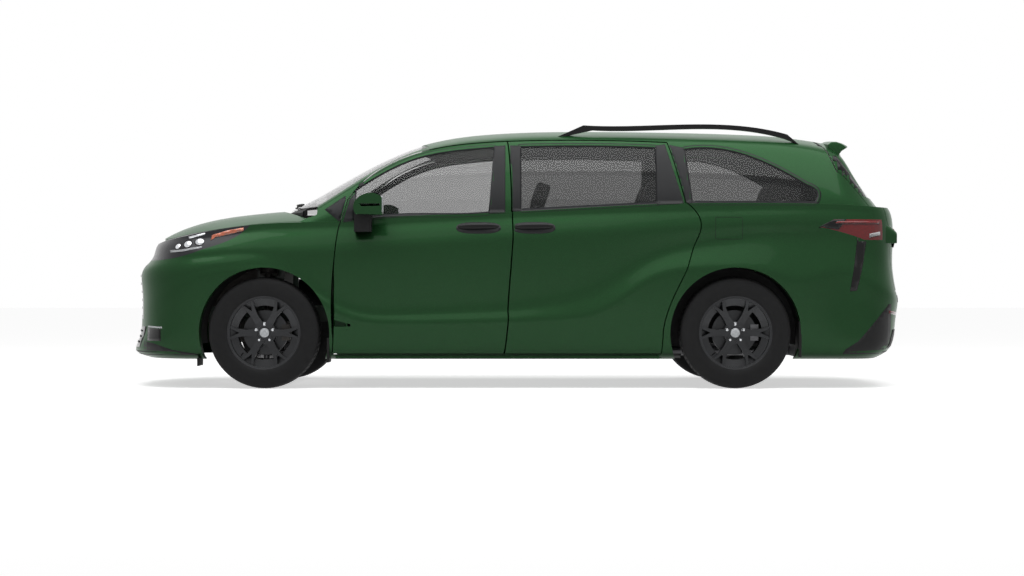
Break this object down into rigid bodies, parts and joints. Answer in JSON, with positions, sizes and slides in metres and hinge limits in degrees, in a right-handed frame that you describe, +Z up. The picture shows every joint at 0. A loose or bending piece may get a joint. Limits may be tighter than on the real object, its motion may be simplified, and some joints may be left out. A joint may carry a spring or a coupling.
{
  "type": "three-row passenger minivan",
  "caption": "Long three-row minivan with hinged front doors, fixed sliding doors, bonnet, tailgate, steered front wheels, a hollow cabin with seats, roof rails and a tow receiver.",
  "frame": {"origin": "on the ground, midway between the front and rear ends and the two sides", "axes": "+X towards the tail, +Y towards the vehicle's right side, +Z up"},
  "size_m": [5.1564, 2.2632, 1.7369],
  "materials": {
    "paint": "gloss",
    "structure_paint": "satin",
    "glass": "clear",
    "dark_glass": "tinted",
    "lamp_glass": "clear lens",
    "tail_lens": "moulded lens",
    "black_plastic": "grained",
    "gloss_black": "gloss",
    "tyre": "matt",
    "rim": "dark gloss",
    "steel": "machined",
    "casting": "cast",
    "seat_cloth": "woven"
  },
  "bodies": {
    "body": {"arch_liners": "black_plastic", "bulkhead": "structure_paint", "cowl": "black_plastic", "dashboard": "black_plastic", "engine": "casting", "exhaust": "steel", "floor": "structure_paint", "front_bumper": "paint", "front_fenders": "paint", "front_seats": "seat_cloth", "front_structure": "structure_paint", "front_suspension": "steel", "grille": "gloss_black", "headlamps": "lamp_glass", "rear_bumper": "paint", "rear_seats": "seat_cloth", "rear_suspension": "steel", "roof": "paint", "roof_rails": "gloss_black", "side_frame_left": "paint", "side_frame_right": "paint", "side_glasses": "dark_glass", "sliding_doors": "paint", "tail_lamps": "tail_lens", "tow_hitch": "steel", "windscreen": "glass"},
    "left_knuckle": {"knuckle_left": "casting"},
    "right_knuckle": {"knuckle_right": "casting"},
    "left_door": {"front_door_left": "paint", "front_door_glass_left": "glass", "mirror_left": "paint"},
    "right_door": {"front_door_right": "paint", "front_door_glass_right": "glass", "mirror_right": "paint"},
    "bonnet": {"bonnet": "paint"},
    "tailgate": {"tailgate": "paint", "tailgate_glass": "dark_glass"},
    "steering_wheel": {"steering_wheel": "black_plastic"},
    "front_left_wheel": {"tyre_front_left": "tyre", "rim_front_left": "rim"},
    "front_right_wheel": {"tyre_front_right": "tyre", "rim_front_right": "rim"},
    "rear_left_wheel": {"tyre_rear_left": "tyre", "rim_rear_left": "rim"},
    "rear_right_wheel": {"tyre_rear_right": "tyre", "rim_rear_right": "rim"}
  },
  "joints": [
    {"name": "left_steering", "type": "hinge", "parent": "body", "child": "left_knuckle", "pos_m": [-1.629, -0.776, 0.222], "axis": [0, 0.232, 0.9727], "range_deg": [-36, 36]},
    {"name": "right_steering", "type": "hinge", "parent": "body", "child": "right_knuckle", "pos_m": [-1.629, 0.776, 0.222], "axis": [0, -0.232, 0.9727], "range_deg": [-36, 36]},
    {"name": "front_left_spin", "type": "hinge", "parent": "left_knuckle", "child": "front_left_wheel", "pos_m": [-1.629, -0.852, 0.363], "axis": [0, 1, 0], "continuous": true},
    {"name": "front_right_spin", "type": "hinge", "parent": "right_knuckle", "child": "front_right_wheel", "pos_m": [-1.629, 0.852, 0.363], "axis": [0, 1, 0], "continuous": true},
    {"name": "rear_left_spin", "type": "hinge", "parent": "body", "child": "rear_left_wheel", "pos_m": [1.431, -0.852, 0.363], "axis": [0, 1, 0], "continuous": true},
    {"name": "rear_right_spin", "type": "hinge", "parent": "body", "child": "rear_right_wheel", "pos_m": [1.431, 0.852, 0.363], "axis": [0, 1, 0], "continuous": true},
    {"name": "left_door_hinge", "type": "hinge", "parent": "body", "child": "left_door", "pos_m": [-1.09133, -0.95213, 0.69], "axis": [0, 0, -1], "range_deg": [0, 65]},
    {"name": "right_door_hinge", "type": "hinge", "parent": "body", "child": "right_door", "pos_m": [-1.09133, 0.95213, 0.69], "axis": [0, 0, 1], "range_deg": [0, 65]},
    {"name": "bonnet_hinge", "type": "hinge", "parent": "body", "child": "bonnet", "pos_m": [-1.323, 0, 1.0833], "axis": [0, 1, 0], "range_deg": [0, 48]},
    {"name": "tailgate_hinge", "type": "hinge", "parent": "body", "child": "tailgate", "pos_m": [1.91553, 0, 1.58675], "axis": [0, -1, 0], "range_deg": [0, 78]},
    {"name": "steering_wheel_turn", "type": "hinge", "parent": "body", "child": "steering_wheel", "pos_m": [-0.76608, -0.3988, 0.966], "axis": [0.9063, 0, 0.4226], "range_deg": [-540, 540]}
  ],
  "couplings": [
    {"joint": "right_steering", "follows": "left_steering", "ratio": 1},
    {"joint": "steering_wheel_turn", "follows": "left_steering", "ratio": 14.5}
  ]
}
